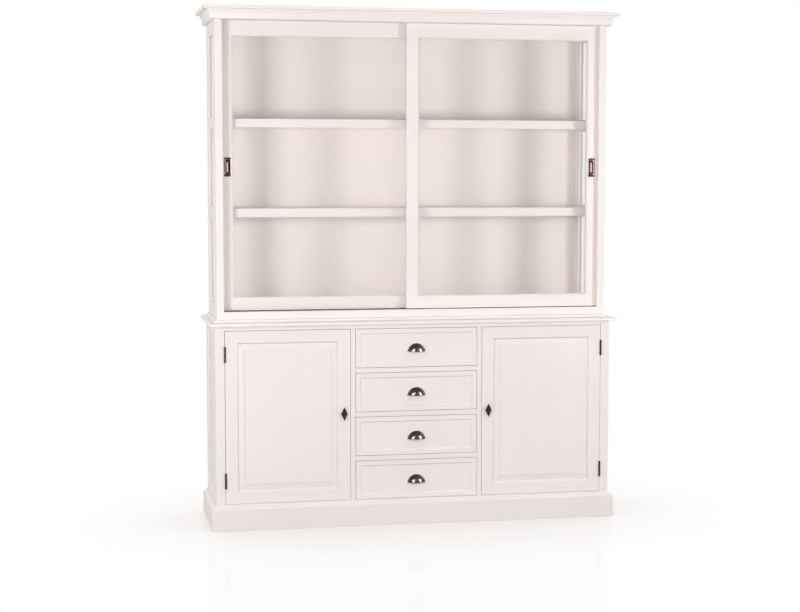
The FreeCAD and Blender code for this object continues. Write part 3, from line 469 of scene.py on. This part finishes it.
pulls = []
for number in range(1, DRAWER_COUNT + 1):
    node = f"drawer_{number}_pull"
    cup = cup_pull(f"drawer_{number}_cup", *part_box(node))
    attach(cup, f"drawer_{number}")
    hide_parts(node)
    pulls.append(cup)


def pull_ring(form, middle, across, up, radius, depth):
    """Points round a rectangle with round corners, which is a capsule where nothing is left across."""
    points = []
    for quarter, (side, end) in enumerate(CORNERS):
        for step in range(DISH_STEPS_ROUND + 1):
            angle = math.pi / 2 * (quarter + step / DISH_STEPS_ROUND)
            x = side * across + radius * math.cos(angle)
            z = end * up + radius * math.sin(angle)
            points.append(form.verts.new(middle + Vector((x, depth, z))))
    return points


def dish_rings(form, middle, share, depth):
    """Capsules from the rim of the dish down to the line at its bottom."""
    length = DISH_HALF_HEIGHT - DISH_HALF_WIDTH
    rings = []
    for step in range(DISH_STEPS_DOWN + 1):
        turn = math.pi / 2 * step / DISH_STEPS_DOWN
        radius = share * DISH_HALF_WIDTH * math.cos(turn)
        sunk = depth + DISH_DEPTH * math.sin(turn) ** 2
        rings.append(pull_ring(form, middle, 0, length, radius, sunk))
    return rings


def flush_pull(name, low, high):
    """A plate with softened edges and a long dish sunk into it, in the box from low to high."""
    middle = Vector(((low.x + high.x) / 2, low.y, (low.z + high.z) / 2))
    across = (high.x - low.x) / 2 - PULL_CORNER
    up = (high.z - low.z) / 2 - PULL_CORNER
    form = bmesh.new()
    front = [pull_ring(form, middle, across, up, PULL_CORNER, PULL_EDGE),
             pull_ring(form, middle, across, up, PULL_CORNER - PULL_EDGE, 0)]
    front += dish_rings(form, middle, 1, 0)
    back = [pull_ring(form, middle, across, up, PULL_CORNER, PULL_PLATE)]
    back += dish_rings(form, middle, DISH_BACK_SHARE, PULL_PLATE)
    rings = front[::-1] + back
    for ring, following in zip(rings, rings[1:]):
        for step in range(len(ring)):
            form.faces.new((ring[step - 1], ring[step], following[step], following[step - 1]))
    return finished(name, form, LOOKS["dark_bronze"])


for hand in HANDS:
    node = f"{hand}_glass_door_pull"
    pull = flush_pull(f"{hand}_flush_pull", *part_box(node))
    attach(pull, f"glass_door_{hand}")
    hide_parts(node)
    pulls.append(pull)


def painted_shade_strips(name):
    """Thin strips of painted shade on the case floor, in front of, between and behind the two running
    grooves.
    """
    floor_low, floor_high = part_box("case_bottom")
    edges = [floor_low.y]
    for hand in reversed(HANDS):
        low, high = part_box(f"{hand}_glass_door_glides")
        groove = (low.y + high.y) / 2
        edges += [groove - STRIP_GROOVE / 2, groove + STRIP_GROOVE / 2]
    edges.append(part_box("left_glass_door_frame")[1].y)
    form = bmesh.new()
    for front, back in zip(edges[::2], edges[1::2]):
        size = (floor_high.x - floor_low.x, back - front, STRIP_THICK)
        place = Vector((0, (front + back) / 2, floor_high.z + STRIP_THICK / 2))
        shape = Matrix.Translation(place) @ Matrix.Diagonal((*size, 1))
        bmesh.ops.create_cube(form, size=1, matrix=shape)
    return finished(name, form, SHADE_STRIP_LOOK)


strips = painted_shade_strips("painted_shade_strips")
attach(strips, "cabinet")


# Studio
scene = bpy.context.scene


def look_matrix(at, yaw, pitch, roll):
    """A camera's place and turn. At no turn it looks along +Y, with +X to the right."""
    ahead = Vector((math.sin(yaw) * math.cos(pitch), math.cos(yaw) * math.cos(pitch), math.sin(pitch)))
    right = Vector((math.cos(yaw), -math.sin(yaw), 0))
    up = right.cross(ahead)
    across = math.cos(roll) * right + math.sin(roll) * up
    over = -math.sin(roll) * right + math.cos(roll) * up
    axes = Matrix((across, over, -ahead)).transposed()
    return Matrix.Translation(at) @ axes.to_4x4()


lens = bpy.data.cameras.new("camera")
lens.sensor_width = SENSOR_WIDTH
lens.lens = FOCAL_PIXELS * SENSOR_WIDTH / IMAGE_WIDTH
lens.shift_x, lens.shift_y = (pixels / IMAGE_WIDTH for pixels in LENS_SHIFT)
camera = bpy.data.objects.new("camera", lens)
scene.collection.objects.link(camera)
camera.matrix_world = look_matrix(CAMERA_AT, CAMERA_YAW, CAMERA_PITCH, CAMERA_ROLL)
scene.camera = camera


def lamp_group(name, pieces, state):
    """Pieces that a lamp lights alone, with the state INCLUDE, or passes by, with the state EXCLUDE."""
    made = bpy.data.collections.new(name)
    for piece in pieces:
        made.objects.link(piece)
    for entry in made.collection_objects:
        entry.light_linking.link_state = state
    return made


def in_slot(slot):
    """Nodes of one material slot."""
    return [piece for name, piece in frame["nodes"].items() if slots[name] == slot]


not_panes = lamp_group("not_panes", in_slot("clear_glass"), "EXCLUDE")
only_pulls = lamp_group("only_pulls", pulls, "INCLUDE")


def softbox(name, at, aim, width, height, power, mirrored, lit):
    """A flat lamp that faces a point. Its group says which pieces it lights."""
    light = bpy.data.lights.new(name, "AREA")
    light.shape = "RECTANGLE"
    light.size = width
    light.size_y = height
    light.energy = power
    made = bpy.data.objects.new(name, light)
    scene.collection.objects.link(made)
    made.location = at
    made.rotation_euler = (Vector(aim) - Vector(at)).to_track_quat("-Z", "Y").to_euler()
    made.visible_glossy = mirrored
    made.light_linking.receiver_collection = lit


# Name, place, width, height, power and whether gloss mirrors it. Each faces the middle of the cupboard.
LIGHTS = (
    ("softbox_left", (-2.6, -2.9, 1.5), 0.85, 0.6, 55, True),
    ("softbox_right", (2.6, -2.9, 1.5), 0.85, 0.6, 44, True),
    ("fill_front", (-0.6, -8.6, 1.0), 3.5, 2.5, 100, False),
    ("fill_above", (0, -2.2, 6.0), 4.0, 1.5, 35, False),
    ("fill_low", (0, -3.2, 0.25), 4.5, 0.3, 6, False),
    ("fill_left", (-7.0, 0.5, 1.5), 3.0, 2.5, 90, False),
    ("fill_right", (7.0, 0.5, 1.5), 3.0, 2.5, 110, False),
    ("fill_top", (0, 0.2, 6.0), 4.0, 1.0, 80, False),
    ("fill_back", (0, 8.0, 1.9), 3.5, 2.5, 300, False),
)
MIDDLE = (0, 0, 1.3)
for name, at, width, height, power, mirrored in LIGHTS:
    softbox(name, at, MIDDLE, width, height, power, mirrored, not_panes)

# Broad far lamps that the pulls alone mirror: name, place, width, height and power
GLINTS = (
    ("glint_left", (-3.2, -8.6, 2.1), 3.2, 4.2, 1900),
    ("glint_right", (5.6, -7.2, 2.1), 3.2, 4.2, 1900),
)
for name, at, width, height, power in GLINTS:
    softbox(name, at, MIDDLE, width, height, power, True, only_pulls)


def surroundings(name, warmth, share):
    """White all round, which lights matt faces with a warm share of its brightness."""
    made = bpy.data.worlds.new(name)
    made.use_nodes = True
    made.cycles.sampling_method = "NONE"
    tree = made.node_tree
    white = tree.nodes["Background"]
    white.inputs["Color"].default_value = (*WHITE, 1)
    soft = tree.nodes.new("ShaderNodeBackground")
    soft.inputs["Color"].default_value = (*warmth, 1)
    soft.inputs["Strength"].default_value = share
    path = tree.nodes.new("ShaderNodeLightPath")
    mix = tree.nodes.new("ShaderNodeMixShader")
    tree.links.new(path.outputs["Is Diffuse Ray"], mix.inputs["Fac"])
    tree.links.new(white.outputs["Background"], mix.inputs[1])
    tree.links.new(soft.outputs["Background"], mix.inputs[2])
    tree.links.new(mix.outputs["Shader"], tree.nodes["World Output"].inputs["Surface"])
    return made


scene.world = surroundings("studio", SOFT_LIGHT_COLOUR, SOFT_LIGHT_SHARE)
scene.view_settings.view_transform = "Standard"

floor_mesh = bpy.data.meshes.new("floor")
floor_corners = [(FLOOR_REACH * side, FLOOR_REACH * end, 0) for side, end in CORNERS]
floor_mesh.from_pydata(floor_corners, [], [range(len(floor_corners))])
floor = bpy.data.objects.new("floor", floor_mesh)
scene.collection.objects.link(floor)
floor.visible_diffuse = False
floor_mesh.materials.append(shaded_bright_floor("studio_floor_painted_shade"))
